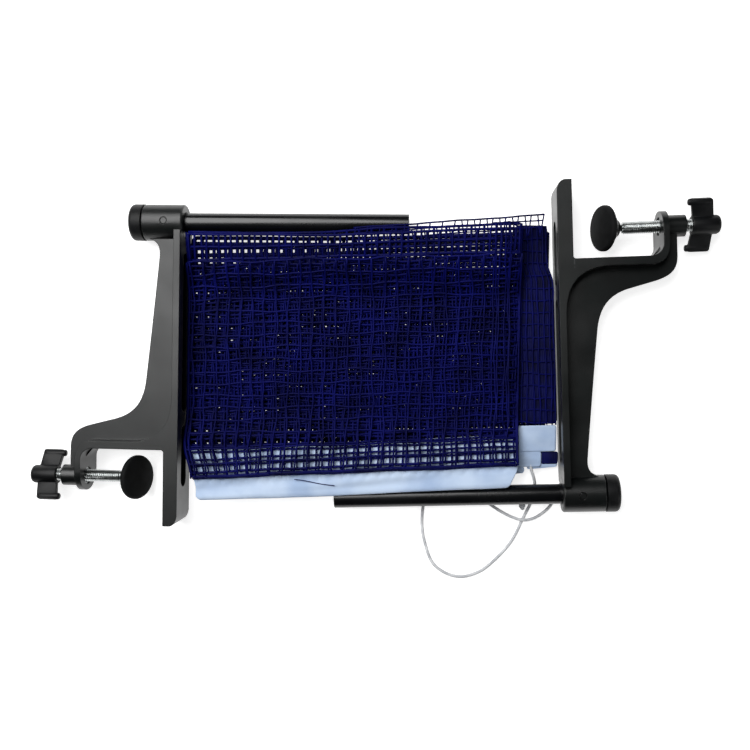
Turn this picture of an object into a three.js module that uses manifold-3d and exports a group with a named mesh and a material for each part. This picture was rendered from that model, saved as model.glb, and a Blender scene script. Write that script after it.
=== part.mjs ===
// Table tennis net set lying flat: two screw clamp net posts, the folded net and its tension cord.
// Millimetres, +Z up. Each post has a frame of its own: +X runs up the post tube, away from the
// table; +Y runs from the clamp's throat out to the tube; Z is the depth of the bracket.

import * as THREE from 'three';
import { mergeGeometries, mergeVertices } from 'three/addons/utils/BufferGeometryUtils.js';
import Module from 'manifold-3d';

// Clearances
const seat = 0.3; // between pieces that rest on or in each other
const running = 0.35; // between pieces that turn or slide on each other

// Bracket: a cast T section with a clamp throat, a jaw that lies on the table and a leg below it
const bracketWidth = 27.5;
const webThickness = 8;
const jawLength = 48.3;
const jawThickness = 9.2;
const jawNose = 6.6; // length of the rounded nose at the jaw's tip
const plateThickness = 4.2;
const armThickness = 5;
const throatDepth = 54; // from the jaw's contact face to the leg
const legThickness = 3.8;
const legLength = 28.3;
const legCornerRadius = 13.2;
const legBend = 11; // outer bend from the arm into the leg
const webOutset = 6.5; // how far the web stands outside the leg
const legFillet = 7.5;
const throatFillet = 1.6;
const channelWidth = 11; // grooves along the net side of the bracket
const channelDepth = 3;
const channelBridge = 8.5; // solid bar between the two grooves
const lowerChannelLength = 40;
const lowerChannelEnd = 15.4; // above the throat

// Post tube and its height adjuster
const netHeight = 152.5; // the tube's tip above the table
const tubeReach = 145.5; // from the throat to the tube's axis
const tubeRadius = 6.3;
const tubeWall = 1;
const tubeFoot = -8.5;
const liftDown = 3;
const liftUp = 5;
const housingRadius = 11.5;
const housingTop = 9.3;
const housingFoot = -17.4;
const housingEndWall = 4.2;
const housingChamfer = 0.8;
const plugLength = 10;
const nutLength = 8;
const adjusterScrewRadius = 3;
const adjusterScrewSpare = 8.1; // thread left past the nut at the tube's highest
const capRadius = 11.7;
const capLength = 8.2;
const capRound = 2.6;
const capScrewDepth = 6;
const clipRadius = 5;
const clipThickness = 0.8;
const clipGroove = 0.8;
const guideRadius = 2;
const guidePlace = -2.5; // along the tube

// Clamp screw, knob and pad
const screwAxis = -19; // from the throat
const screwRadius = 4;
const bossRadius = 6.75;
const bossLength = 12;
const insertWall = 1.1;
const insertDepth = 1; // how far the insert lies below both faces
const knobGap = 3.9; // bare screw between the boss and the knob
const hubRadius = 5.9;
const hubLength = 17.5;
const hubScrewDepth = 13;
const wingSpan = 33.2;
const wingLength = 14.2;
const wingOverhang = 1.2; // past the hub, towards the boss
const wingThickness = 3.4;
const wingCorner = 1.8;
const wingBeadRadius = 2.2;
const wingBeadOverhang = 1.8;
const knobTurn = -21 * Math.PI / 180;
const padRadius = 14.2;
const padFace = -17.9; // the rubber's face, before the jaw's contact face
const padRubber = 2.2;
const padLip = 3.2; // how far the rubber wraps back over the rim
const padLipWall = 0.7;
const padDiscRim = 0.8;
const padConeLength = 6.5;
const padConeSwell = 0.5;
const padHubLength = 1.1;
const padHubRadius = 5.3;
const ballRadius = 4.2;
const ballPlace = -26.1;
const noseRadius = 2.2;
const noseNeck = 1.2; // bare nose behind the ball
const noseLength = 6.6;
const leftPadTilt = -23.5 * Math.PI / 180;
const rightPadTilt = -20 * Math.PI / 180;

// Places of the two posts
const axisHeight = bracketWidth / 2;
const rightPostX = 253.5;
const rightPostY = 123.5;
const rightPostTurn = Math.PI + 2.74 * Math.PI / 180;

// Net: folded to a packet between the two brackets, its upper folds laid over the two tubes
const packetLeft = jawThickness + 0.8;
const packetRight = rightPostX - jawThickness - 2.8;
const rearThickness = 6.5;
const rearFolds = 3;
const rearBottom = -12;
const rearTop = tubeReach - 6.5;
const hemWidth = 18.2;
const hemThickness = 3.6;
const hemBottom = 21.2;
const foldsLeft = packetLeft + 2;
const foldsRight = packetRight - 1 - hemWidth - seat;
const foldsTop = tubeReach - 4;
const foldsThickness = 2.4;
const foldsSlope = 42; // length over which the folds climb onto a tube
const openLayerLeft = 118;
const openLayerRight = packetRight - 5.5;
const openLayerTop = tubeReach + 5.5;
const openLayerThickness = 1.2;
const openLayerColumns = 16;
const meshTop = foldsTop - 24.8;
const meshThickness = 1.2;
const meshColumns = 22;
const meshRows = 10;
const strandWidth = 1.6;
const tapeLeft = 20;
const tapeRight = 218.5;
const tapeTop = rightPostY - tubeReach + 20.7;
const tapeBottom = tapeTop - 30.7; // at its left end
const tapeTurn = 3.8 * Math.PI / 180; // its lower edge rises to the right
const tapeThickness = 1.6;
const meshBottom = tapeBottom + 22;
const upperEndWidth = 20.2; // the tape's folded ends, one above the other beside the hem
const upperEndHeight = 14.4;
const upperEndThickness = 3.2;
const lowerEndWidth = 14.7;
const lowerEndHeight = 9.8;
const lowerEndThickness = 2.8;
const hemEndWidth = 9;
const hemEndHeight = 7;
const hemEndThickness = 2.2;
const cordRadius = 1;
const knotRadius = 2.3;

const wasm = await Module();
wasm.setup();

const paint = new THREE.MeshStandardMaterial({ color: 0x17181a, roughness: 0.42, metalness: 0.1 });
const glossPaint = new THREE.MeshStandardMaterial({ color: 0x131416, roughness: 0.25, metalness: 0.1 });
const moulded = new THREE.MeshStandardMaterial({ color: 0x101113, roughness: 0.5, metalness: 0 });
const rubber = new THREE.MeshStandardMaterial({ color: 0x1b1b1c, roughness: 0.9, metalness: 0 });
const zinc = new THREE.MeshStandardMaterial({ color: 0xc9cdd0, roughness: 0.3, metalness: 1 });
const brass = new THREE.MeshStandardMaterial({ color: 0xb9964e, roughness: 0.35, metalness: 1 });
const navy = new THREE.MeshStandardMaterial({ color: 0x10106a, roughness: 0.7, metalness: 0 });
const white = new THREE.MeshStandardMaterial({ color: 0xcdd8f0, roughness: 0.85, metalness: 0 });

// Solids

function signedVolume(positions, index) {
  const [a, b, c] = [new THREE.Vector3(), new THREE.Vector3(), new THREE.Vector3()];
  let sum = 0;
  for (let i = 0; i < index.length; i += 3) {
    a.fromArray(positions, 3 * index[i]);
    b.fromArray(positions, 3 * index[i + 1]);
    c.fromArray(positions, 3 * index[i + 2]);
    sum += a.dot(b.cross(c));
  }
  return sum / 6;
}

// A closed geometry as a manifold solid, turned inside out where its faces point inwards
function solidOf(geometry) {
  const bare = geometry.clone();
  bare.deleteAttribute('normal');
  bare.deleteAttribute('uv');
  const merged = mergeVertices(bare, 1e-4);
  const positions = Float32Array.from(merged.attributes.position.array);
  const index = Uint32Array.from(merged.index.array);
  if (signedVolume(positions, index) < 0) index.reverse();
  return new wasm.Manifold(new wasm.Mesh({ numProp: 3, vertProperties: positions, triVerts: index }));
}

function geometryOf(solid) {
  const mesh = solid.getMesh();
  const geometry = new THREE.BufferGeometry();
  const positions = new Float32Array(3 * mesh.numVert);
  for (let i = 0; i < mesh.numVert; i++) {
    for (let k = 0; k < 3; k++) positions[3 * i + k] = mesh.vertProperties[mesh.numProp * i + k];
  }
  geometry.setAttribute('position', new THREE.BufferAttribute(positions, 3));
  geometry.setIndex(new THREE.BufferAttribute(Uint32Array.from(mesh.triVerts), 1));
  geometry.computeVertexNormals();
  return geometry;
}

const joined = (...parts) => parts.map(solidOf).reduce((all, part) => all.add(part));
const cut = (geometry, ...tools) => geometryOf(solidOf(geometry).subtract(joined(...tools)));

function box(x0, x1, y0, y1, z0, z1) {
  const geometry = new THREE.BoxGeometry(x1 - x0, y1 - y0, z1 - z0);
  return geometry.translate((x0 + x1) / 2, (y0 + y1) / 2, (z0 + z1) / 2);
}

// A turned piece about an axis parallel to X, from points [x, radius] that start and end on the
// axis or close on themselves, in either order
function turned(points, segments = 32, y = 0) {
  const outline = points.map(([x, r]) => new THREE.Vector2(r < 1e-6 ? 0 : r, x));
  if (THREE.ShapeUtils.area(outline) < 0) outline.reverse();
  return new THREE.LatheGeometry(outline, segments).rotateZ(-Math.PI / 2).translate(0, y, 0);
}

const rod = (x0, x1, radius, segments = 32, y = 0) =>
  turned([[x0, 0], [x0, radius], [x1, radius], [x1, 0]], segments, y);

const ring = (x0, x1, inner, outer, segments = 32, y = 0) =>
  turned([[x0, inner], [x0, outer], [x1, outer], [x1, inner], [x0, inner]], segments, y);

// A shape in the bracket's own plane, as thick as `width` about its middle
function slab(shape, width, curveSegments = 8) {
  const geometry = new THREE.ExtrudeGeometry(shape, { depth: width, bevelEnabled: false, curveSegments });
  return geometry.translate(0, 0, -width / 2);
}

// A shape of (y, z) run along X from x0 to x1
function run(shape, x0, x1, curveSegments = 8) {
  const geometry = new THREE.ExtrudeGeometry(shape, {
    depth: x1 - x0,
    bevelEnabled: false,
    curveSegments,
  });
  const alongX = new THREE.Matrix4().makeBasis(
    new THREE.Vector3(0, 1, 0),
    new THREE.Vector3(0, 0, 1),
    new THREE.Vector3(1, 0, 0),
  );
  return geometry.applyMatrix4(alongX).translate(x0, 0, 0);
}

function roundedRectangle(x0, x1, y0, y1, radius) {
  const shape = new THREE.Shape();
  shape.moveTo(x0 + radius, y0);
  shape.lineTo(x1 - radius, y0);
  shape.absarc(x1 - radius, y0 + radius, radius, -Math.PI / 2, 0, false);
  shape.lineTo(x1, y1 - radius);
  shape.absarc(x1 - radius, y1 - radius, radius, 0, Math.PI / 2, false);
  shape.lineTo(x0 + radius, y1);
  shape.absarc(x0 + radius, y1 - radius, radius, Math.PI / 2, Math.PI, false);
  shape.lineTo(x0, y0 + radius);
  shape.absarc(x0 + radius, y0 + radius, radius, Math.PI, 1.5 * Math.PI, false);
  return shape;
}

// Bracket

const legOuter = -throatDepth - legThickness;
const plateInner = jawThickness - plateThickness;
const bossEnd = legOuter - bossLength;
const plateTop = tubeReach - 6;

// The flanges at the bracket's full width: jaw, upright plate, arm and leg in one run
function flangeShape() {
  const shape = new THREE.Shape();
  shape.moveTo(0, -jawLength);
  shape.lineTo(jawThickness - 0.75 * jawNose, -jawLength);
  shape.quadraticCurveTo(jawThickness - 0.8, -jawLength + 0.6, jawThickness, -jawLength + jawNose);
  shape.lineTo(jawThickness, plateTop);
  shape.lineTo(plateInner, plateTop);
  shape.lineTo(plateInner, 6.4 * armThickness);
  shape.bezierCurveTo(
    plateInner - 1, 2.8 * armThickness,
    plateInner - 9, armThickness + 1.2,
    plateInner - 25, armThickness,
  );
  shape.lineTo(legOuter + legBend, armThickness);
  shape.quadraticCurveTo(legOuter, armThickness, legOuter, armThickness - 1.25 * legBend);
  shape.lineTo(legOuter, -legLength / 2);
  shape.lineTo(-throatDepth, -legLength / 2);
  shape.lineTo(-throatDepth, -legFillet);
  shape.absarc(-throatDepth + legFillet, -legFillet, legFillet, Math.PI, Math.PI / 2, true);
  shape.lineTo(-throatFillet, 0);
  shape.absarc(-throatFillet, -throatFillet, throatFillet, Math.PI / 2, 0, true);
  return shape;
}

// The web in the middle of the bracket: from the screw's boss up the outside of the leg, then the
// long curve up to the tube's housing
function webShape() {
  const housingEdge = tubeReach - housingRadius;
  const webOuter = legOuter - webOutset;
  const webFoot = screwAxis + bossRadius / 2;
  const shape = new THREE.Shape();
  shape.moveTo(webOuter, webFoot);
  shape.lineTo(webOuter, 0);
  shape.bezierCurveTo(webOuter, 9.3, webOuter + 5.8, 12.2, webOuter + 12.3, 14.3);
  shape.lineTo(webOuter + 30.3, 19);
  shape.bezierCurveTo(-22, 22.6, -16.6, 30, -14.9, 43);
  shape.bezierCurveTo(-12.6, 64, -8.6, 104, -6.8, housingEdge - 10);
  shape.bezierCurveTo(-6.4, housingEdge - 4, -8.5, housingEdge - 1, -13.5, housingEdge + 0.6);
  shape.lineTo(-13.5, plateTop);
  shape.lineTo(plateInner + 1, plateTop);
  shape.lineTo(plateInner + 1, armThickness / 2);
  shape.lineTo(legOuter + legBend, armThickness / 2);
  shape.lineTo(legOuter + legThickness / 2, armThickness - 1.25 * legBend);
  shape.lineTo(legOuter + legThickness / 2, webFoot);
  return shape;
}

// The round end of the leg, as (y, z)
function legEndShape() {
  const half = bracketWidth / 2;
  const start = 0.5 - legLength / 2;
  const middle = legCornerRadius - legLength;
  const shape = new THREE.Shape();
  shape.moveTo(start, -half);
  shape.lineTo(start, half);
  shape.lineTo(middle, half);
  shape.absarc(middle, half - legCornerRadius, legCornerRadius, Math.PI / 2, Math.PI, false);
  shape.absarc(middle, legCornerRadius - half, legCornerRadius, Math.PI, 1.5 * Math.PI, false);
  return shape;
}

function bracketGeometry() {
  const body = joined(
    slab(flangeShape(), bracketWidth),
    slab(webShape(), webThickness, 10),
    run(legEndShape(), legOuter, -throatDepth, 5),
    rod(bossEnd, legOuter + 1, bossRadius, 32, screwAxis),
    turned([
      [housingFoot, 0],
      [housingFoot, housingRadius - housingChamfer],
      [housingFoot + housingChamfer, housingRadius],
      [housingTop - housingChamfer, housingRadius],
      [housingTop, housingRadius - housingChamfer],
      [housingTop, 0],
    ], 40, tubeReach),
  );
  const channelFloor = jawThickness - channelDepth;
  const channel = (y0, y1) => run(
    roundedRectangle(y0, y1, -channelWidth / 2, channelWidth / 2, channelWidth / 2 - 0.1),
    channelFloor,
    jawThickness + 1,
    4,
  );
  const holes = joined(
    rod(housingFoot + housingEndWall, housingTop + 1, tubeRadius + running, 32, tubeReach),
    rod(housingFoot - 1, housingTop, adjusterScrewRadius + running, 20, tubeReach),
    rod(bossEnd - 1, -throatDepth + 1, screwRadius + running + insertWall + seat, 32, screwAxis),
    guideRod(guideRadius + seat, 0, housingRadius + 1),
    channel(lowerChannelEnd - lowerChannelLength, lowerChannelEnd),
    channel(lowerChannelEnd + channelBridge, tubeReach - housingRadius - 8),
  );
  return geometryOf(body.subtract(holes));
}

// A round bar that stands across the housing, from `low` to `high` above the tube's axis
function guideRod(radius, low, high) {
  const bar = new THREE.CylinderGeometry(radius, radius, high - low, 16);
  return bar.rotateX(Math.PI / 2).translate(guidePlace, tubeReach, (low + high) / 2);
}

// Post tube and height adjuster

function tubeGeometry() {
  const wallTube = ring(tubeFoot, netHeight, tubeRadius - tubeWall, tubeRadius, 32, tubeReach);
  const slotEnd = guidePlace + liftDown + guideRadius + running;
  const slotHalf = guideRadius + running;
  const slot = box(
    tubeFoot - 1, slotEnd,
    tubeReach - slotHalf, tubeReach + slotHalf,
    tubeRadius / 2, tubeRadius + 1,
  );
  return cut(wallTube, slot);
}

function plugGeometry() {
  const radius = tubeRadius - tubeWall - seat;
  return turned([
    [netHeight - plugLength, 0],
    [netHeight - plugLength, radius - 0.6],
    [netHeight - plugLength + 0.6, radius],
    [netHeight, radius],
    [netHeight, 0],
  ], 32, tubeReach);
}

const nutGeometry = () => ring(
  tubeFoot,
  tubeFoot + nutLength,
  adjusterScrewRadius + running,
  tubeRadius - tubeWall - seat,
  32,
  tubeReach,
);

const capFoot = housingFoot - seat;
const capEnd = capFoot - capLength;

function capGeometry() {
  const holeRadius = adjusterScrewRadius + seat;
  const arc = [];
  for (let i = 0; i <= 4; i++) {
    const angle = i / 4 * Math.PI / 2;
    arc.push([
      capEnd + capRound * (1 - Math.sin(angle)),
      capRadius - capRound * (1 - Math.cos(angle)),
    ]);
  }
  return turned([
    [capEnd, 0],
    ...arc.reverse(),
    [capFoot, capRadius],
    [capFoot, holeRadius],
    [capFoot - capScrewDepth, holeRadius],
    [capFoot - capScrewDepth, 0],
  ], 32, tubeReach);
}

const clipFoot = housingFoot + housingEndWall + seat;

function adjusterScrewGeometry() {
  const foot = capFoot - capScrewDepth + seat;
  const end = tubeFoot + nutLength + liftUp + adjusterScrewSpare;
  const neck = adjusterScrewRadius - clipGroove;
  const grooveFoot = clipFoot - 0.1;
  const grooveTop = clipFoot + clipThickness + 0.1;
  return turned([
    [foot, 0],
    [foot, adjusterScrewRadius],
    [grooveFoot, adjusterScrewRadius],
    [grooveFoot, neck],
    [grooveTop, neck],
    [grooveTop, adjusterScrewRadius],
    [end - 1, adjusterScrewRadius],
    [end, adjusterScrewRadius - 1],
    [end, 0],
  ], 20, tubeReach);
}

// A spring steel C clip that holds the adjuster screw in the housing's end wall
function clipGeometry() {
  const mouth = 0.75;
  const inner = adjusterScrewRadius - clipGroove + seat;
  const shape = new THREE.Shape();
  shape.absarc(0, 0, clipRadius, mouth, 2 * Math.PI - mouth, false);
  shape.absarc(0, 0, inner, 2 * Math.PI - mouth, mouth, true);
  return run(shape, clipFoot, clipFoot + clipThickness, 10).translate(0, tubeReach, 0);
}

const guideScrewGeometry = () =>
  guideRod(guideRadius, tubeRadius - tubeWall + seat, housingRadius - 0.2);

// Clamp screw, knob and pad

const insertGeometry = () => ring(
  bossEnd + insertDepth,
  -throatDepth - insertDepth,
  screwRadius + running,
  screwRadius + running + insertWall,
  32,
  screwAxis,
);

const knobFace = bossEnd - knobGap;
const screwFoot = ballPlace - ballRadius - noseNeck;

function clampScrewGeometry() {
  const end = knobFace - hubScrewDepth + seat;
  return turned([
    [end, 0],
    [end, screwRadius],
    [screwFoot - 0.8, screwRadius],
    [screwFoot, screwRadius - 0.8],
    [screwFoot, noseRadius],
    [screwFoot + noseLength, noseRadius],
    [screwFoot + noseLength, 0],
  ], 24, screwAxis);
}

// Two flat wings on a hub, each with a bead along its rim for the fingers
function knobGeometry() {
  const hubEnd = knobFace - hubLength;
  const hub = turned([
    [hubEnd, 0],
    [hubEnd, hubRadius - 2.2],
    [hubEnd + 0.7, hubRadius - 0.7],
    [hubEnd + 2.2, hubRadius],
    [knobFace - 0.6, hubRadius],
    [knobFace, hubRadius - 0.6],
    [knobFace, screwRadius + seat],
    [knobFace - hubScrewDepth, screwRadius + seat],
    [knobFace - hubScrewDepth, 0],
  ], 24);
  const wing = new THREE.Shape();
  const reach = wingSpan / 2;
  const inner = hubRadius - 1.2;
  const near = knobFace + wingOverhang;
  const far = near - wingLength;
  const tip = far + 1;
  wing.moveTo(near - 1.6, inner);
  wing.lineTo(near, reach - wingCorner);
  wing.quadraticCurveTo(near, reach, near - wingCorner, reach);
  wing.lineTo(tip + wingCorner, reach);
  wing.quadraticCurveTo(tip, reach, tip, reach - wingCorner);
  wing.lineTo(far, inner);
  const blade = slab(wing, wingThickness, 3);
  const beadEnd = near + wingBeadOverhang;
  const bead = turned([
    [tip + 0.6, 0],
    [tip + 0.9, wingBeadRadius - 0.7],
    [tip + 1.7, wingBeadRadius],
    [beadEnd - 0.8, wingBeadRadius],
    [beadEnd, wingBeadRadius - 0.7],
    [beadEnd, 0],
  ], 12, reach - wingBeadRadius);
  const halfTurn = (geometry) => geometry.clone().rotateX(Math.PI);
  return geometryOf(joined(hub, blade, bead, halfTurn(blade), halfTurn(bead)));
}

// The three pieces at the screw's end are turned about the ball's middle, where the pad tilts

function ballGeometry() {
  const bore = noseRadius + running;
  const back = -Math.sqrt(ballRadius ** 2 - (bore + 0.3) ** 2);
  const boreEnd = screwFoot - ballPlace + noseLength + seat;
  const points = [[boreEnd, 0], [boreEnd, bore], [back, bore]];
  const first = Math.atan2(bore + 0.3, -back);
  for (let i = 0; i <= 6; i++) {
    const angle = first + (Math.PI - first) * i / 6;
    points.push([-ballRadius * Math.cos(angle), ballRadius * Math.sin(angle)]);
  }
  return turned(points, 18);
}

const discFront = padFace - ballPlace - padRubber - seat;

function padDiscGeometry() {
  const rim = padRadius - padLipWall - seat;
  const socket = ballRadius + running;
  const mouth = 2.1; // how far the socket wraps back past the ball's middle
  const coneEnd = discFront - padDiscRim - padConeLength;
  const hubEnd = coneEnd - padHubLength;
  const last = Math.acos(-mouth / socket);
  const points = [
    [discFront, 0],
    [discFront, rim],
    [discFront - padDiscRim, rim],
    [coneEnd + padConeLength / 2, (rim + padHubRadius) / 2 + padConeSwell],
    [coneEnd, padHubRadius + padConeSwell / 2],
    [coneEnd, padHubRadius],
    [hubEnd, padHubRadius],
    [hubEnd, padHubRadius - 0.9],
  ];
  for (let i = 0; i <= 6; i++) {
    const angle = last * (1 - i / 6);
    points.push([socket * Math.cos(angle), socket * Math.sin(angle)]);
  }
  return turned(points, 24);
}

function padFaceGeometry() {
  const front = padFace - ballPlace;
  const inner = padRadius - padLipWall;
  return turned([
    [front, 0],
    [front, padRadius - 1.4],
    [front - 0.5, padRadius - 0.5],
    [front - 1.4, padRadius],
    [front - padLip, padRadius],
    [front - padLip, inner],
    [front - padRubber, inner],
    [front - padRubber, 0],
  ], 32);
}

// Net packet

const smooth = (t) => {
  const c = Math.min(1, Math.max(0, t));
  return c * c * (3 - 2 * c);
};

// Underside of the folds that climb from the rear folds onto each tube
function foldHeight(y) {
  const low = rearThickness + seat;
  const high = axisHeight + tubeRadius + running;
  const rightTubeEdge = rightPostY - tubeReach + tubeRadius;
  const leftTubeEdge = tubeReach - tubeRadius;
  const ontoRight = 1 - smooth((y - rightTubeEdge) / foldsSlope);
  const ontoLeft = smooth((y - leftTubeEdge + foldsSlope) / foldsSlope);
  return low + (high - low) * Math.max(ontoRight, ontoLeft);
}

// A layer that follows the folds, from y0 to y1, between two heights above their underside
function foldedLayer(x0, x1, y0, y1, low, high, steps) {
  const shape = new THREE.Shape();
  for (let i = 0; i <= steps; i++) {
    const y = y0 + (y1 - y0) * i / steps;
    const z = foldHeight(y) + low;
    if (i === 0) shape.moveTo(y, z);
    else shape.lineTo(y, z);
  }
  for (let i = steps; i >= 0; i--) {
    const y = y0 + (y1 - y0) * i / steps;
    shape.lineTo(y, foldHeight(y) + high);
  }
  return run(shape, x0, x1);
}

// Holes of a net of `columns` by `rows`, as one geometry of separate bars through the layer
function gaps(x0, x1, y0, y1, z0, z1, columns, rows) {
  const across = (x1 - x0 - strandWidth) / columns;
  const along = (y1 - y0 - strandWidth) / rows;
  const bars = [];
  for (let i = 0; i < columns; i++) {
    for (let j = 0; j < rows; j++) {
      const x = x0 + strandWidth + i * across;
      const y = y0 + strandWidth + j * along;
      bars.push(box(x, x + across - strandWidth, y, y + along - strandWidth, z0, z1));
    }
  }
  return mergeGeometries(bars);
}

// Rear folds: a packet whose two ends show the rounded turns of the folded net
function rearFoldsGeometry() {
  const radius = rearThickness / rearFolds / 2;
  const shape = new THREE.Shape();
  shape.moveTo(packetLeft + radius, 0);
  shape.lineTo(packetRight - radius, 0);
  for (let i = 0; i < rearFolds; i++) {
    shape.absarc(packetRight - radius, (2 * i + 1) * radius, radius, -Math.PI / 2, Math.PI / 2, false);
  }
  for (let i = rearFolds - 1; i >= 0; i--) {
    shape.absarc(packetLeft + radius, (2 * i + 1) * radius, radius, Math.PI / 2, 1.5 * Math.PI, false);
  }
  const geometry = new THREE.ExtrudeGeometry(shape, {
    depth: rearTop - rearBottom,
    bevelEnabled: false,
    curveSegments: 5,
  });
  return geometry.rotateX(Math.PI / 2).translate(0, rearTop, 0);
}

// The one open layer that reaches past the folds, over the left tube's tip
function openLayerGeometry() {
  const low = axisHeight + tubeRadius + running;
  const high = low + openLayerThickness;
  const foot = foldsTop + seat;
  return cut(
    box(openLayerLeft, openLayerRight, foot, openLayerTop, low, high),
    gaps(openLayerLeft, openLayerRight, foot, openLayerTop, low - 1, high + 1, openLayerColumns, 1),
  );
}

const middleFoldsGeometry = () =>
  foldedLayer(foldsLeft, foldsRight, tapeTop + seat, foldsTop, 0, foldsThickness, 24);

function meshLayerGeometry() {
  const low = foldsThickness + seat;
  const layer = foldedLayer(foldsLeft, foldsRight, meshBottom, meshTop, low, low + meshThickness, meshRows);
  const top = axisHeight + tubeRadius + foldsThickness + meshThickness + 5;
  return cut(layer, gaps(foldsLeft, foldsRight, meshBottom, meshTop, 0, top, meshColumns, meshRows));
}

// The tape band, its lower edge cut on the slant that the folded net lies at
function tapeGeometry() {
  const length = tapeRight - tapeLeft;
  const drop = tapeTop - tapeBottom;
  const height = axisHeight + tubeRadius + 2 * tapeThickness + 2;
  const below = box(-drop, 1.5 * length, -drop, 0, 0, height);
  below.rotateZ(tapeTurn).translate(tapeLeft, tapeBottom, 0);
  const band = foldedLayer(tapeLeft, tapeRight, tapeBottom, tapeTop, 0, tapeThickness, 10);
  return cut(band, below);
}

// A flat packet of folded tape or hem that lies on the rear folds
function foldedEnd(x0, x1, y0, y1, thickness, radius) {
  const geometry = new THREE.ExtrudeGeometry(roundedRectangle(x0, x1, y0, y1, radius), {
    depth: thickness,
    bevelEnabled: false,
    curveSegments: 4,
  });
  return geometry.translate(0, 0, rearThickness + seat);
}

// Tension cord: out of the folded tape's end, under the right tube, round one loop on the ground
// and back under the tube to its knot. Where it crosses itself it rises over the lower run.
const ground = cordRadius + 0.1;
const cordPoints = [
  [232, -3.9, 8.4], [232.6, -8, 8.3], [234.2, -12.8, 7.6], [235.4, -17.5, 4.6],
  [235.4, -21.6, 2.2], [234.8, -26, 1.3], [233.3, -31, ground], [229.2, -39.6, ground],
  [221.6, -55.7, ground], [210.8, -68.5, ground], [201.7, -76, ground], [190.2, -79.8, ground],
  [180.1, -78, ground], [171.2, -71.4, ground], [165.9, -58.3, ground], [163.9, -46.9, ground],
  [164.8, -33, ground], [167.2, -26, ground], [173, -23.2, ground], [188, -23, ground],
  [200, -26.8, ground], [206.2, -31.4, ground], [214, -36.4, 1.5], [222, -40, 2.8],
  [228.6, -41.4, 3.6], [234.6, -40.4, 2.7], [240, -37.6, 1.6], [244.6, -33.6, 1.3],
  [247.1, -29.6, 1.3], [246.9, -25.2, 1.5], [243.8, -22.4, 2.2], [239.2, -22.6, 3.7],
  [234.8, -25, 4.2], [231.4, -28, 3.2], [229.3, -30.75, 2.4],
];
const knotPlace = [228, -33, knotRadius + 0.1];

function cordGeometry() {
  const section = new THREE.Shape();
  for (let i = 0; i < 8; i++) {
    const angle = i / 8 * 2 * Math.PI;
    if (i === 0) section.moveTo(cordRadius, 0);
    else section.lineTo(cordRadius * Math.cos(angle), cordRadius * Math.sin(angle));
  }
  const path = new THREE.CatmullRomCurve3(cordPoints.map((p) => new THREE.Vector3(...p)));
  return new THREE.ExtrudeGeometry(section, { steps: 72, extrudePath: path });
}

// Assembly

function piece(parent, name, geometry, material) {
  const mesh = new THREE.Mesh(geometry, material);
  mesh.name = name;
  parent.add(mesh);
  return mesh;
}

function addPost(set, side, x, y, turn, padTilt) {
  const post = new THREE.Group();
  post.position.set(x, y, axisHeight);
  post.rotation.z = turn;
  set.add(post);
  piece(post, `${side}_bracket`, bracketGeometry(), paint);
  piece(post, `${side}_guide_screw`, guideScrewGeometry(), paint);
  piece(post, `${side}_thread_insert`, insertGeometry(), zinc);
  piece(post, `${side}_post_tube`, tubeGeometry(), glossPaint);
  piece(post, `${side}_tube_end_plug`, plugGeometry(), moulded);
  piece(post, `${side}_tube_nut`, nutGeometry(), brass);
  piece(post, `${side}_adjuster_cap`, capGeometry(), moulded);
  piece(post, `${side}_adjuster_screw`, adjusterScrewGeometry(), zinc);
  piece(post, `${side}_screw_clip`, clipGeometry(), zinc);
  piece(post, `${side}_clamp_screw`, clampScrewGeometry(), zinc);
  const knob = piece(post, `${side}_wing_knob`, knobGeometry(), moulded);
  knob.position.y = screwAxis;
  knob.rotation.x = knobTurn;
  const swivel = new THREE.Group();
  swivel.position.set(ballPlace, screwAxis, 0);
  post.add(swivel);
  piece(swivel, `${side}_swivel_ball`, ballGeometry(), zinc);
  const pad = new THREE.Group();
  pad.rotation.y = padTilt;
  swivel.add(pad);
  piece(pad, `${side}_pad_disc`, padDiscGeometry(), moulded);
  piece(pad, `${side}_pad_face`, padFaceGeometry(), rubber);
}

function addNet(set) {
  piece(set, 'net_rear_folds', rearFoldsGeometry(), navy);
  piece(set, 'net_open_layer', openLayerGeometry(), navy);
  piece(set, 'net_middle_folds', middleFoldsGeometry(), navy);
  piece(set, 'net_front_layer', meshLayerGeometry(), navy);
  piece(set, 'top_tape', tapeGeometry(), white);
  const hemLeft = foldsRight + seat;
  const hem = foldedEnd(hemLeft, hemLeft + hemWidth, hemBottom, foldsTop, hemThickness, 3);
  piece(set, 'side_hem', hem, navy);
  const upperTop = hemBottom - seat;
  const lowerTop = upperTop - upperEndHeight - seat;
  const upperLeft = foldsRight + 0.8;
  const lowerLeft = upperLeft - 1;
  const cornerLeft = lowerLeft + lowerEndWidth + 0.5;
  const cornerTop = lowerTop - 1.8;
  piece(set, 'tape_end_upper', foldedEnd(
    upperLeft, upperLeft + upperEndWidth, upperTop - upperEndHeight, upperTop, upperEndThickness, 2,
  ), white);
  piece(set, 'tape_end_lower', foldedEnd(
    lowerLeft, lowerLeft + lowerEndWidth, lowerTop - lowerEndHeight, lowerTop, lowerEndThickness, 2,
  ), white);
  piece(set, 'hem_end', foldedEnd(
    cornerLeft, cornerLeft + hemEndWidth, cornerTop - hemEndHeight, cornerTop, hemEndThickness, 1.5,
  ), navy);
  piece(set, 'net_cord', cordGeometry(), white);
  const knot = piece(set, 'cord_knot', new THREE.SphereGeometry(knotRadius, 12, 8), white);
  knot.position.set(...knotPlace);
}

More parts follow.
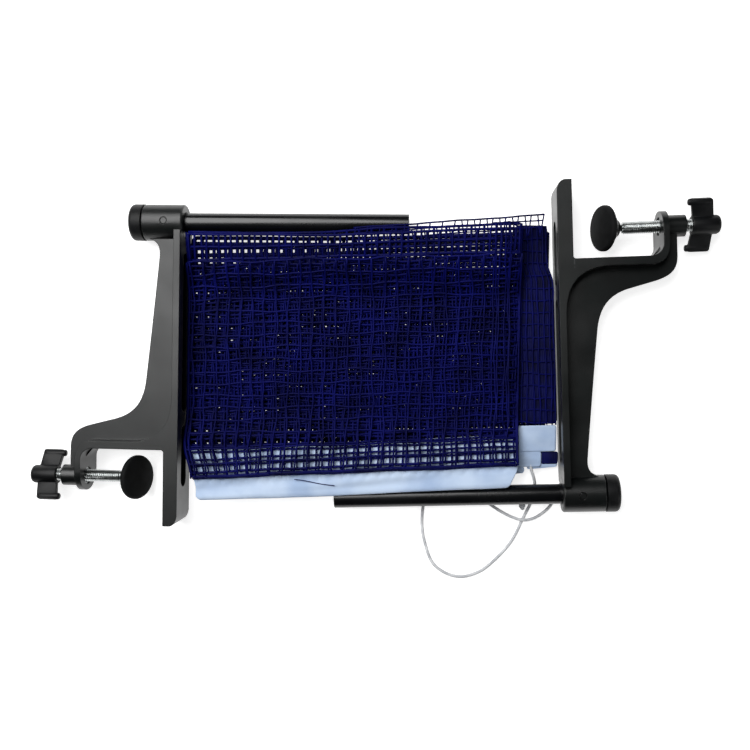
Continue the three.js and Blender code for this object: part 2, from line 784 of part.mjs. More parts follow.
// The set stands on its base, with the origin under the middle of everything but the cord
const netSet = new THREE.Group();
const layout = new THREE.Group();
netSet.add(layout);
addPost(layout, 'left', 0, 0, 0, leftPadTilt);
addPost(layout, 'right', rightPostX, rightPostY, rightPostTurn, rightPadTilt);
addNet(layout);
layout.updateMatrixWorld(true);
const bounds = new THREE.Box3();
layout.traverse((object) => {
  if (object.isMesh && object.name !== 'net_cord' && object.name !== 'cord_knot') {
    bounds.expandByObject(object, true);
  }
});
const middle = bounds.getCenter(new THREE.Vector3());
layout.position.set(-middle.x, -middle.y, -bounds.min.z);

export default netSet;
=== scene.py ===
# Table tennis net set, folded and laid flat: two screw clamp net posts, the net and its tension cord.
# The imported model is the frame; every piece is in metres in the same frame.

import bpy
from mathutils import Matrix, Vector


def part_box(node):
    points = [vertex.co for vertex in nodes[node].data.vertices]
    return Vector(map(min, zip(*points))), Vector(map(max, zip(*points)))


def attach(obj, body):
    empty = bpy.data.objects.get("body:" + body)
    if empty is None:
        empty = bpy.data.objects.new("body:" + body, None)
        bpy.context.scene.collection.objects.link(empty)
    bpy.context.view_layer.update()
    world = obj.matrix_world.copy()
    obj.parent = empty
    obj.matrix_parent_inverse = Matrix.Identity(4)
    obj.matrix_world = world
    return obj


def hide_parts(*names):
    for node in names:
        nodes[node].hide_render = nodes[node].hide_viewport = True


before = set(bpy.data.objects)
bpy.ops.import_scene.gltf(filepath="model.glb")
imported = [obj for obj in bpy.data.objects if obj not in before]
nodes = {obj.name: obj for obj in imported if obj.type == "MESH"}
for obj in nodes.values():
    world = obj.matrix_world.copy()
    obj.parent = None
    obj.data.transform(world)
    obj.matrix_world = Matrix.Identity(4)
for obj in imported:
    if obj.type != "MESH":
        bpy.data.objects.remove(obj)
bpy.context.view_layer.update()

import math
import random

import bmesh
import bpy
from mathutils import Matrix, Vector


# Camera
# A plain lens that looks almost straight down on the set from 0.57 m, a few degrees askew, so that
# the set's corners are seen a little from the side.
camera = bpy.data.objects.new("camera", bpy.data.cameras.new("camera"))
camera.location = (0.04865, 0.00088, 0.57495)
camera.rotation_euler = [math.radians(angle) for angle in (-1.21, 4.34, 1.0)]
camera.data.sensor_width = 36
camera.data.lens = 42.52
camera.data.clip_start = 0.01
camera.data.clip_end = 20
bpy.context.scene.collection.objects.link(camera)
bpy.context.scene.camera = camera
bpy.context.scene.view_settings.view_transform = "Standard"


# Tension cord
# A thin braided polyester cord, about 2 mm, that runs in the tape along the net's top edge and comes
# out of it at the end: it passes under the tube, lies in a loose loop and is tied to a small knot.

def linear(code):
    """The linear colour, with alpha, of an sRGB hex code."""
    parts = [int(code[i:i + 2], 16) / 255 for i in (1, 3, 5)]
    return [p / 12.92 if p <= 0.04045 else ((p + 0.055) / 1.055) ** 2.4 for p in parts] + [1.0]


def add(material, kind, settings=None, links=None):
    """Adds a shader node with its settings, and links its inputs to (node, output) pairs."""
    made = material.node_tree.nodes.new("ShaderNode" + kind)
    for name, value in (settings or {}).items():
        if isinstance(name, int) or name in made.inputs:
            made.inputs[name].default_value = value
        else:
            setattr(made, name, value)
    for name, (source, output) in (links or {}).items():
        material.node_tree.links.new(source.outputs[output], made.inputs[name])
    return made


def new_material(name):
    """An empty material for nodes."""
    material = bpy.data.materials.new(name)
    material.use_nodes = True
    material.node_tree.nodes.clear()
    return material


def tinted(material, factor, colours):
    """A colour ramp over a 0 to 1 factor, from (place, hex colour) pairs."""
    ramp = add(material, "ValToRGB", {}, {"Fac": factor})
    elements = ramp.color_ramp.elements
    while len(elements) < len(colours):
        elements.new(0.5)
    for element, (place, code) in zip(elements, colours):
        element.position = place
        element.color = linear(code)
    return ramp


def new_object(name, vertices, faces, material, smooth=True):
    """A mesh of one material, in the scene, with vertices in metres."""
    mesh = bpy.data.meshes.new(name)
    mesh.from_pydata([tuple(v) for v in vertices], [], faces)
    mesh.polygons.foreach_set("use_smooth", [smooth] * len(mesh.polygons))
    mesh.materials.append(material)
    mesh.update()
    made = bpy.data.objects.new(name, mesh)
    bpy.context.scene.collection.objects.link(made)
    return made


# The net's own frame, in millimetres, has its origin at the left clamp's throat: the top of the
# post's housing stands housing_top mm from it and the jaw's tip jaw_tip mm.
MM = 0.001
housing_top = 9.3
jaw_tip = 48.3
left_post_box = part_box("left_bracket")
net_origin = Vector((left_post_box[1][0] / MM - housing_top, left_post_box[0][1] / MM + jaw_tip, 0))
cord_diameter = 2.0
cord_points = [
    (232, -3.9, 8.4), (232.6, -8, 8.3), (234.2, -12.8, 7.6), (235.4, -17.5, 4.6), (235.4, -21.6, 2.2),
    (234.8, -26, 1.3), (233.3, -31, 1.1), (229.2, -39.6, 1.1), (221.6, -55.7, 1.1), (210.8, -68.5, 1.1),
    (201.7, -76, 1.1), (190.2, -79.8, 1.1), (180.1, -78, 1.1), (171.2, -71.4, 1.1), (165.9, -58.3, 1.1),
    (163.9, -46.9, 1.1), (164.8, -33, 1.1), (167.2, -26, 1.1), (173, -23.2, 1.1), (188, -23, 1.1),
    (200, -26.8, 1.1), (206.2, -31.4, 1.1), (214, -36.4, 1.5), (222, -40, 2.8), (228.6, -41.4, 3.6),
    (234.6, -40.4, 2.7), (240, -37.6, 1.6), (244.6, -33.6, 1.3), (247.1, -29.6, 1.3), (246.9, -25.2, 1.5),
    (243.8, -22.4, 2.2), (239.2, -22.6, 3.7), (234.8, -25, 4.2), (231.4, -28, 3.2), (229.3, -30.75, 2.4),
]


def spline_through(points, steps):
    """A centripetal Catmull-Rom curve through points, with that many steps to each span."""
    ends = [2 * points[0] - points[1]] + points + [2 * points[-1] - points[-2]]
    curve = []
    for p0, p1, p2, p3 in zip(ends, ends[1:], ends[2:], ends[3:]):
        d0, d1, d2 = ((b - a).length ** 0.5 for a, b in ((p0, p1), (p1, p2), (p2, p3)))
        t1 = ((p1 - p0) / d0 - (p2 - p0) / (d0 + d1) + (p2 - p1) / d1) * d1
        t2 = ((p2 - p1) / d1 - (p3 - p1) / (d1 + d2) + (p3 - p2) / d2) * d1
        for i in range(steps):
            t = i / steps
            curve.append(
                p1 + t1 * t
                + (3 * (p2 - p1) - 2 * t1 - t2) * t ** 2
                + (2 * (p1 - p2) + t1 + t2) * t ** 3
            )
    return curve + [points[-1].copy()]


def frames_along(path):
    """The direction and a normal that turns as little as it can, at each point of a path."""
    directions = []
    for i in range(len(path)):
        directions.append((path[min(i + 1, len(path) - 1)] - path[max(i - 1, 0)]).normalized())
    normal = directions[0].orthogonal().normalized()
    result = []
    for direction in directions:
        normal = (normal - direction * normal.dot(direction)).normalized()
        result.append((direction, normal))
    return result


def strand(path, radius, sides, vertices, faces, relief=None):
    """Adds a closed tube along a path; relief(distance, angle) swells its radius."""
    base = len(vertices)
    travelled = 0.0
    for i, (point, (direction, normal)) in enumerate(zip(path, frames_along(path))):
        if i:
            travelled += (point - path[i - 1]).length
        side = direction.cross(normal)
        for j in range(sides):
            angle = 2 * math.pi * j / sides
            reach = radius + (relief(travelled, angle) if relief else 0.0)
            vertices.append(point + reach * (math.cos(angle) * normal + math.sin(angle) * side))
    for i in range(len(path) - 1):
        for j in range(sides):
            a = base + i * sides + j
            b = base + i * sides + (j + 1) % sides
            faces.append((a, b, b + sides, a + sides))
    faces.append(tuple(base + j for j in reversed(range(sides))))
    last = base + (len(path) - 1) * sides
    faces.append(tuple(last + j for j in range(sides)))


# Braided polyester: matt and off-white, its plaits grey in their furrows
braided_cord = new_material("braided_polyester_cord")
place = add(braided_cord, "TexCoord")
soil = add(braided_cord, "TexNoise", {"Scale": 160, "Detail": 3}, {"Vector": (place, "Object")})
soil_colour = tinted(braided_cord, (soil, "Fac"), [(0.35, "#c4c6ca"), (0.62, "#eceef0")])
fibres = add(braided_cord, "TexNoise", {"Scale": 2600, "Detail": 2}, {"Vector": (place, "Object")})
fibre_bump = add(braided_cord, "Bump", {"Strength": 0.35, "Distance": 0.0001}, {"Height": (fibres, "Fac")})
cord_shader = add(
    braided_cord, "BsdfPrincipled",
    {"Roughness": 0.8, "Specular IOR Level": 0.25, "Sheen Weight": 0.2},
    {"Base Color": (soil_colour, "Color"), "Normal": (fibre_bump, "Normal")},
)
add(braided_cord, "OutputMaterial", {}, {"Surface": (cord_shader, "BSDF")})

braid_pitch = 3.2 * MM
plait_relief = 0.045 * MM
plait_furrow = 0.03 * MM


def braid(distance, angle):
    """Two sets of four plaits that cross, as a relief on the cord."""
    turn = 2 * math.pi * distance / braid_pitch
    return plait_relief * (math.cos(4 * angle + turn) + math.cos(4 * angle - turn)) - plait_furrow


cord_path = spline_through([(Vector(p) + net_origin) * MM for p in cord_points], 24)
vertices, faces = [], []
strand(cord_path, cord_diameter / 2 * MM, 12, vertices, faces, braid)
cord = new_object("tension_cord", vertices, faces, braided_cord)
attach(cord, "net")
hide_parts("net_cord")

# The knot is pulled tight, so the cord in it is squeezed to 1.6 mm
knot_centre = (Vector((228, -33, 2.4)) + net_origin) * MM
knot_reach = 1.45 * MM
squeezed_radius = 0.8 * MM
knot_path = []
for i in range(121):
    t = 2 * math.pi * i / 120
    knot_path.append(knot_centre + knot_reach / 3 * Vector((
        math.sin(t) + 2 * math.sin(2 * t),
        math.cos(t) - 2 * math.cos(2 * t),
        -math.sin(3 * t) * 1.5,
    )))
vertices, faces = [], []
strand(knot_path, squeezed_radius, 12, vertices, faces, braid)
knot = new_object("cord_end_knot", vertices, faces, braided_cord)
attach(knot, "net")
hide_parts("cord_knot")


# Brackets
# Each is one casting in aluminium alloy with a T section: a flange that makes the jaw, the upright
# and the leg, and a web on its middle. It is fettled, then stoved with semi-gloss black paint.
post_height = 13.75
right_throat = Vector((253.5, 123.5, post_height))
right_turn = math.pi + math.radians(2.74)
posts = {
    "left": Matrix.Translation(net_origin + Vector((0, 0, post_height))),
    "right": Matrix.Translation(net_origin + right_throat) @ Matrix.Rotation(right_turn, 4, "Z"),
}


sharp_angle = 32


def refined(node, name, material, body, edge=0.0):
    """A cast, turned or moulded piece with its round faces smooth and its corners broken by edge mm."""
    shape = bmesh.new()
    shape.from_mesh(nodes[node].data)
    bmesh.ops.remove_doubles(shape, verts=shape.verts, dist=1e-6)
    bmesh.ops.dissolve_limit(shape, angle_limit=math.radians(0.05), verts=shape.verts, edges=shape.edges)
    if edge:
        corners = [e for e in shape.edges if e.calc_face_angle(0) > math.radians(sharp_angle)]
        bmesh.ops.bevel(
            shape, geom=corners, offset=edge * MM, segments=2, affect="EDGES", profile=0.5,
            clamp_overlap=False,
        )
    bmesh.ops.triangulate(shape, faces=[f for f in shape.faces if len(f.verts) > 4])
    mesh = bpy.data.meshes.new(name)
    shape.to_mesh(mesh)
    shape.free()
    for stale in ("custom_normal", "sharp_face", "sharp_edge"):
        if stale in mesh.attributes:
            mesh.attributes.remove(mesh.attributes[stale])
    mesh.polygons.foreach_set("use_smooth", [True] * len(mesh.polygons))
    mesh.set_sharp_from_angle(angle=math.radians(sharp_angle + 8))
    mesh.materials.clear()
    mesh.materials.append(material)
    made = bpy.data.objects.new(name, mesh)
    bpy.context.scene.collection.objects.link(made)
    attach(made, body)
    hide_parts(node)


def finished(name, colours, gloss, mottle, ripple, depth, edge, worn, metal=0.0, sheen=0.5):
    """A surface finish from its dark, light and worn colours, its least and greatest roughness, the
    sizes in mm of its mottling and its ripple, the ripple's depth, the edge radius in mm and where
    along the corners wear begins. A lower sheen is for a surface whose pores scatter the light."""
    material = new_material(name)
    place = add(material, "TexCoord")
    clouds = add(material, "TexNoise", {"Scale": 1000 / mottle, "Detail": 5}, {"Vector": (place, "Object")})
    body_colour = tinted(material, (clouds, "Fac"), [(0.35, colours[0]), (0.65, colours[1])])
    shape = add(material, "NewGeometry")
    scuffs = add(material, "TexNoise", {"Scale": 420, "Detail": 4}, {"Vector": (place, "Object")})
    ridge = add(material, "Math", {"operation": "MULTIPLY_ADD", 1: 0.25}, {
        0: (scuffs, "Fac"), 2: (shape, "Pointiness"),
    })
    bare = add(material, "MapRange", {"From Min": worn, "From Max": worn + 0.06, "To Max": 0.7}, {
        "Value": (ridge, "Value"),
    })
    colour = add(material, "Mix", {"data_type": "RGBA", 7: linear(colours[2])}, {
        0: (bare, "Result"), 6: (body_colour, "Color"),
    })
    smears = add(material, "TexNoise", {"Scale": 28, "Detail": 3}, {"Vector": (place, "Object")})
    roughness = add(material, "MapRange", {
        "From Min": 0.3, "From Max": 0.7, "To Min": gloss[0], "To Max": gloss[1],
    }, {"Value": (smears, "Fac")})
    grain = add(material, "TexNoise", {"Scale": 1000 / ripple, "Detail": 2}, {"Vector": (place, "Object")})
    rounded = add(material, "Bevel", {"samples": 4, "Radius": edge * MM})
    bump = add(material, "Bump", {"Strength": depth, "Distance": 0.0002}, {
        "Height": (grain, "Fac"), "Normal": (rounded, "Normal"),
    })
    shader = add(material, "BsdfPrincipled", {"Metallic": metal, "Specular IOR Level": sheen}, {
        "Base Color": (colour, 2), "Roughness": (roughness, "Result"), "Normal": (bump, "Normal"),
    })
    add(material, "OutputMaterial", {}, {"Surface": (shader, "BSDF")})
    return material


# Stoved semi-gloss paint on a casting: near black, a faint ripple, soft broad highlights
bracket_paint = finished(
    "stoved_black_paint_on_cast_aluminium", ("#080b0b", "#0d1111", "#454849"),
    gloss=(0.3, 0.44), mottle=14, ripple=0.9, depth=0.14, edge=0.6, worn=0.86,
)
for side in posts:
    refined(f"{side}_bracket", f"{side}_cast_bracket", bracket_paint, f"{side}_post")


# Guide screws and thread inserts
# A slotted grub screw in each housing keeps the tube from turning; a steel sleeve is pressed into
# the boss, because the soft casting alone would not hold the clamp screw's thread.

# Bright zinc plate on rolled steel: silvery, a little hazy, with a clear streak of light
zinc_plate = finished(
    "bright_zinc_plated_steel", ("#a9adad", "#c3c6c5", "#8d8f8d"),
    gloss=(0.26, 0.36), mottle=3, ripple=0.5, depth=0.03, edge=0.2, worn=0.88, metal=1.0,
)
for side in posts:
    refined(f"{side}_guide_screw", f"{side}_grub_screw", bracket_paint, f"{side}_post")
    refined(f"{side}_thread_insert", f"{side}_insert_sleeve", zinc_plate, f"{side}_post")


# Post tubes
# Thin steel tube, 12.6 mm across, with a smooth gloss enamel. A moulded plug closes its upper end
# and a brass nut, pressed into its foot, runs on the height adjuster's screw.

# Gloss enamel on drawn tube: black, with one narrow streak of light along its length
tube_enamel = finished(
    "gloss_black_enamel_on_drawn_steel_tube", ("#07080a", "#0c0d0f", "#3b3e40"),
    gloss=(0.2, 0.3), mottle=30, ripple=2.2, depth=0.05, edge=0.3, worn=0.86,
)
# Moulded nylon: a little greyer and duller than the enamel, with a fine spark grain
moulded_nylon = finished(
    "moulded_black_nylon", ("#070809", "#0d0e10", "#303234"),
    gloss=(0.4, 0.54), mottle=9, ripple=0.35, depth=0.22, edge=0.5, worn=0.86, sheen=0.24,
)
# Turned brass: warm yellow with a soft sheen
turned_brass = finished(
    "turned_brass", ("#b08d4a", "#c7a661", "#8c6d35"),
    gloss=(0.28, 0.4), mottle=4, ripple=0.4, depth=0.12, edge=0.2, worn=0.88, metal=1.0,
)
for side in posts:
    body = f"{side}_tube"
    refined(f"{side}_post_tube", f"{side}_enamelled_tube", tube_enamel, body)
    refined(f"{side}_tube_end_plug", f"{side}_end_plug", moulded_nylon, body)
    refined(f"{side}_tube_nut", f"{side}_brass_nut", turned_brass, body)


# Height adjusters
# A moulded cap on a steel screw under the housing, held by a spring clip, raises and lowers the
# tube by a few millimetres.
for side in posts:
    body = f"{side}_adjuster"
    refined(f"{side}_adjuster_cap", f"{side}_moulded_cap", moulded_nylon, body)
    refined(f"{side}_adjuster_screw", f"{side}_lift_screw", zinc_plate, body)
    refined(f"{side}_screw_clip", f"{side}_spring_clip", zinc_plate, body)


# Clamp screws
# M8 studding in zinc-plated steel, rolled thread of 1.25 mm pitch, with a plain round nose that
# carries the ball at the pad's end.
screw_axis = -19.0
thread_pitch = 1.25
thread_depth = 0.6
screw_radius = 4.0
screw_low = -86.4
screw_high = -31.5
nose_radius = 2.2
nose_end = -24.9
screw_steps = 24
rings_per_turn = 7
run_out_length = 1.2
run_out_depth = 0.8


def thread_radius(x, angle):
    """The radius of a rolled thread, with a flat crest and a flat root, run out at its upper end."""
    turn = (x / thread_pitch - angle / (2 * math.pi)) % 1.0
    height = min(1.0, max(0.0, 1.25 - 2.5 * abs(turn - 0.5) * 1.1))
    run_out = min(1.0, (screw_high - x) / run_out_length)
    return screw_radius - thread_depth * (1 - height) - run_out_depth * (1 - max(0.0, run_out))


for side, post in posts.items():
    vertices, faces = [], []
    rings = int((screw_high - screw_low) / thread_pitch * rings_per_turn)
    angles = [2 * math.pi * j / screw_steps for j in range(screw_steps)]
    rows = []
    for i in range(rings + 1):
        x = screw_low + (screw_high - screw_low) * i / rings
        rows.append((x, [thread_radius(x, angle) for angle in angles]))
    rows += [(x, [nose_radius] * screw_steps) for x in (screw_high + 0.05, nose_end)]
    for x, radii in rows:
        for angle, radius in zip(angles, radii):
            point = Vector((x, screw_axis + radius * math.cos(angle), radius * math.sin(angle)))
            vertices.append((post @ point) * MM)
    for i in range(len(rows) - 1):
        for j in range(screw_steps):
            a = i * screw_steps + j
            b = i * screw_steps + (j + 1) % screw_steps
            faces.append((a, b, b + screw_steps, a + screw_steps))
    faces.append(tuple(reversed(range(screw_steps))))
    faces.append(tuple(len(vertices) - screw_steps + j for j in range(screw_steps)))
    stud = new_object(f"{side}_threaded_stud", vertices, faces, zinc_plate)
    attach(stud, f"{side}_screw")
    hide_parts(f"{side}_clamp_screw")


# Wing knobs
# Moulded in nylon over the screw's end: a round hub and two flat wings, each with a bead on its
# rim for the fingers.
knob_edge = 0.35
for side in posts:
    body = f"{side}_screw"
    refined(f"{side}_wing_knob", f"{side}_moulded_knob", moulded_nylon, body, knob_edge)


# Swivel pads
# A steel ball on the screw's nose sits in a moulded disc, whose face is a rubber cap that grips
# the underside of the table without marking it.

# Soft rubber: charcoal, quite matt, dusty in its pores
pad_rubber = finished(
    "moulded_black_rubber", ("#0a0b0c", "#121314", "#222324"),
    gloss=(0.62, 0.8), mottle=6, ripple=0.3, depth=0.3, edge=0.6, worn=0.86, sheen=0.16,
)
for side in posts:
    refined(f"{side}_swivel_ball", f"{side}_steel_ball", zinc_plate, f"{side}_swivel")
    refined(f"{side}_pad_disc", f"{side}_moulded_disc", moulded_nylon, f"{side}_pad")
    refined(f"{side}_pad_face", f"{side}_rubber_cap", pad_rubber, f"{side}_pad")


# Net
# Knotless netting in navy polyethylene yarn, 1.83 m long and 152.5 mm deep with its tape, folded
# to and fro in eight runs. The runs lie at different places, so together they nearly hide the floor.
net_pitch = 7.75
row_step = 3.9
fold_reach = 1.6
random.seed(7)

# Twisted polyethylene yarn: deep navy, with a waxy sheen along the top of each strand
net_yarn = new_material("twisted_navy_polyethylene_yarn")
place = add(net_yarn, "TexCoord")
fade = add(net_yarn, "TexNoise", {"Scale": 60, "Detail": 4}, {"Vector": (place, "Object")})
fade_colour = tinted(net_yarn, (fade, "Fac"), [(0.36, "#01033c"), (0.64, "#050a58")])
twist = add(net_yarn, "TexNoise", {"Scale": 1900, "Detail": 2}, {"Vector": (place, "Object")})
twist_bump = add(net_yarn, "Bump", {"Strength": 0.4, "Distance": 0.0001}, {"Height": (twist, "Fac")})
yarn_shader = add(
    net_yarn, "BsdfPrincipled",
    {"Roughness": 0.55, "Specular IOR Level": 0.1},
    {"Base Color": (fade_colour, "Color"), "Normal": (twist_bump, "Normal")},
)
add(net_yarn, "OutputMaterial", {}, {"Surface": (yarn_shader, "BSDF")})

# The upper folds lie low on the rear folds in the middle, and climb onto a tube at each end
tube_radius = 6.3
tube_top = post_height + tube_radius + 0.35
right_tube_edge = -15.7
left_tube_edge = 139.2
rear_top = 6.8
climb = 42.0


def eased(t):
    """A smooth step from 0 to 1."""
    c = min(1.0, max(0.0, t))
    return c * c * (3 - 2 * c)


def fold_height(y):
    """The height in mm that the upper folds rest at."""
    onto_right = 1 - eased((y - right_tube_edge) / climb)
    onto_left = eased((y - left_tube_edge + climb) / climb)
    return rear_top + (tube_top - rear_top) * max(onto_right, onto_left)


def waver(reach, wave):
    """A slow seeded wander of up to reach mm either way, over a wave in mm."""
    first = random.uniform(0, 2 * math.pi)
    second = random.uniform(0, 2 * math.pi)
    turn = 2 * math.pi / wave
    return lambda s: reach * (0.7 * math.sin(turn * s + first) + 0.3 * math.sin(2.7 * turn * s + second))


packet_middle = 120


def body_rise(x):
    """The slant that every run shares in the middle of the packet."""
    return 0.035 * (x - packet_middle)


def spread(place, phase):
    """The shift that brings a row or column to its run's own phase, as the nearest way there."""
    return (phase - place + net_pitch / 2) % net_pitch - net_pitch / 2


def row_height(run, j, x):
    """Where row j of a run lies: the runs bunch at their common edge and fan out away from it."""
    y = run["high"] - j * net_pitch
    from_edge = (j if run["edge"] == "high" else run["rows"] - j) * net_pitch
    if run["edge"] == "high":
        # The upper edge is bunched more tightly at its left end
        share = eased((from_edge - 2 + 5 * eased((x - 60) / 110)) / 11)
    else:
        share = eased((from_edge - 11) / 13)
    apart = spread(run["high"], run["phase"] * net_pitch / 8)
    return y + (run["rise"](x) + run["near"]) * (1 - share) + (body_rise(x) + apart) * share


def drawn_in(point):
    """The packet's lower left corner is drawn in to the tape's end."""
    x, y, z = point
    return Vector((x + 6.8 * eased((7 - y) / 24) * (1 - eased((x - 12) / 60)), y, z))


# A cut edge's yarn is doubled, and a row that ends at a fold is a little fuller
edge_fullness = 1.5
end_fullness = 1.15


def net_folds(name, replaced, runs, yarn, slip):
    """A group of runs that follow on from each other round their folds, as one piece of netting. The
    runs' yarns slip by up to slip mm."""
    vertices, faces = [], []
    for j in range(max(run["rows"] for run in runs) + 1):
        path = []
        for r, run in enumerate(runs):
            ahead = r % 2 == 0
            wander = waver(slip, 64)
            slack = waver(0.25, 47)
            from_edge = (j if run["edge"] == "high" else run["rows"] - j) * net_pitch
            loose = 0.3 + 0.7 * eased((from_edge - 8) / 24)
            if j > run["rows"]:
                continue
            span = run["right"] - run["left"]
            steps = int(span / row_step)
            for i in range(steps + 1):
                x = run["left"] + span * (i if ahead else steps - i) / steps
                y = row_height(run, j, x) + loose * wander(x)
                path.append((x, y, run["lie"](y) + slack(x)))
            if r + 1 < len(runs) and j <= runs[r + 1]["rows"]:
                after = runs[r + 1]
                side = "right" if ahead else "left"
                x = run[side]
                x_after = after[side]
                y_after = row_height(after, j, x_after)
                z = path[-1][2]
                z_after = after["lie"](y_after)
                outward = fold_reach if ahead else -fold_reach
                for angle in (-50, 0, 50):
                    share = (math.sin(math.radians(angle)) + 1) / 2
                    path.append((
                        x + (x_after - x) * share + outward * math.cos(math.radians(angle)),
                        y + (y_after - y) * share,
                        z + (z_after - z) * share,
                    ))
            else:
                edge_yarn = run["edge"] == "low" and j == run["rows"]
                radius = yarn * (edge_fullness if edge_yarn else end_fullness)
                strand([(drawn_in(p) + net_origin) * MM for p in path], radius * MM, 5, vertices, faces)
                path = []
    for run in runs:
        apart = spread(run["left"] + run["column"], run["phase"] * net_pitch / 8)
        columns = int((run["right"] - run["left"] - run["column"]) / net_pitch)
        for i in range(-1, columns + 2):
            wander = waver(slip, 55)
            path = []
            steps = run["rows"] * 2
            for k in range(steps + 1):
                from_edge = (k if run["edge"] == "high" else steps - k) * net_pitch / 2
                share = eased(from_edge / 34)
                x = run["left"] + run["column"] + i * net_pitch + apart * share
                x += run["lean"] * (k - steps / 2) + (0.3 + 0.7 * share) * wander(k * net_pitch / 2)
                x = min(run["right"] + 1.2, max(run["left"] - 1.2, x))
                y = row_height(run, k / 2, x)
                path.append((x, y, run["lie"](y) + 0.4))
            strand([(drawn_in(p) + net_origin) * MM for p in path], yarn * MM, 5, vertices, faces)
    made = new_object(name, vertices, faces, net_yarn)
    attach(made, "net")
    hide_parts(replaced)
    # The yarns' share of the cut, because netting is mostly holes
    share = min(1.0, math.pi * 2 * yarn / net_pitch)


def top_rise(x):
    """The slant of the rear runs' upper edge."""
    return 0.045 * max(0.0, x - 110)


def over_rise(x):
    """The run whose edge lies behind the tube at the left and over it further on."""
    return top_rise(x) + 2.8 * eased((x - 80) / 60)


def tape_rise(x):
    """The slant of the runs' edge along the tape."""
    return 0.0655 * (x - packet_middle)


# left and right: the run's folded ends; high: its first row; edge: the side where the runs bunch;
# rise: the slant of that side; near and column: its rows' and columns' shift there; phase: its eighth
# of a cell in the middle of the packet; lean: its columns' lean; lie: the height that it lies at. The
# rear and middle yarns are drawn thicker than the net's 1.2 mm, to close the packet as it really is.
run_words = ("left", "right", "high", "rows", "edge", "rise", "near", "column", "phase", "lean", "lie")
rear_runs = [dict(zip(run_words, run)) for run in (
    (12.5, 238.0, 133.6, 18, "high", top_rise, 0.0, 0.0, 0, 0.0, lambda y: 1.75),
    (13.5, 239.0, 137.5, 18, "high", top_rise, -0.2, 3.6, 2.7, 0.0, lambda y: 3.6),
    (12.0, 237.5, 133.6, 18, "high", top_rise, -0.4, 0.9, 5.4, 0.01, lambda y: 5.4),
)]
net_folds(
    "net_rear_runs", "net_rear_folds", rear_runs, yarn=1.2, slip=0.35,
)
middle_runs = [dict(zip(run_words, run)) for run in (
    (12.8, 221.0, 138.5, 17, "high", over_rise, 0.0, 0.4, 6, 0.0, lambda y: fold_height(y) + 0.7),
    (14.2, 220.0, 137.5, 16, "high", top_rise, -0.3, 3.2, 1, 0.02, lambda y: fold_height(y) + 2.0),
)]
net_folds(
    "net_middle_runs", "net_middle_folds", middle_runs, yarn=0.8, slip=0.7,
)
front_runs = [dict(zip(run_words, run)) for run in (
    (11.6, 222.0, 120.95, 17, "low", tape_rise, 0.0, 0.0, 3, 0.02, lambda y: fold_height(y) + 3.4),
    (12.2, 221.0, 124.65, 17, "low", tape_rise, 0.0, 3.7, 5, -0.02, lambda y: fold_height(y) + 4.6),
    (12.9, 221.6, 120.95, 17, "low", tape_rise, 1.3, 0.6, 7, 0.03, lambda y: fold_height(y) + 5.9),
)]
net_folds(
    "net_front_runs", "net_front_layer", front_runs, yarn=0.62, slip=1.0,
)


# Top tape
# White cotton tape, 32 mm wide as it lies, folded over the net's upper edge with the cord inside and
# sewn down. The front fold lies over the right tube, and the other folds' tape shows through the net.
tape_width = 32.3

# Bleached cotton, woven plain: matt, a cool white, softly shaded where it creases
tape_cloth = new_material("bleached_woven_cotton_tape")
place = add(tape_cloth, "TexCoord")
tint = add(tape_cloth, "TexNoise", {"Scale": 38, "Detail": 4}, {"Vector": (place, "Object")})
tint_colour = tinted(tape_cloth, (tint, "Fac"), [(0.34, "#acc2e2"), (0.62, "#cadcf4")])
# Plain weave of about 0.5 mm, as two sets of ridges that cross
warp = add(tape_cloth, "TexWave", {"Scale": 620, "Distortion": 1.2, "bands_direction": "X"}, {
    "Vector": (place, "Object"),
})
weft = add(tape_cloth, "TexWave", {"Scale": 620, "Distortion": 1.2, "bands_direction": "Y"}, {
    "Vector": (place, "Object"),
})
weave = add(tape_cloth, "Math", {"operation": "MULTIPLY"}, {0: (warp, "Fac"), 1: (weft, "Fac")})
weave_bump = add(tape_cloth, "Bump", {"Strength": 0.35, "Distance": 0.00012}, {"Height": (weave, "Value")})
crease = add(tape_cloth, "TexNoise", {"Scale": 120, "Detail": 3}, {"Vector": (place, "Object")})
crease_bump = add(tape_cloth, "Bump", {"Strength": 0.25, "Distance": 0.0009}, {
    "Height": (crease, "Fac"), "Normal": (weave_bump, "Normal"),
})
tape_shader = add(
    tape_cloth, "BsdfPrincipled",
    {"Roughness": 0.88, "Specular IOR Level": 0.2, "Sheen Weight": 0.25},
    {"Base Color": (tint_colour, "Color"), "Normal": (crease_bump, "Normal")},
)
add(tape_cloth, "OutputMaterial", {}, {"Surface": (tape_shader, "BSDF")})


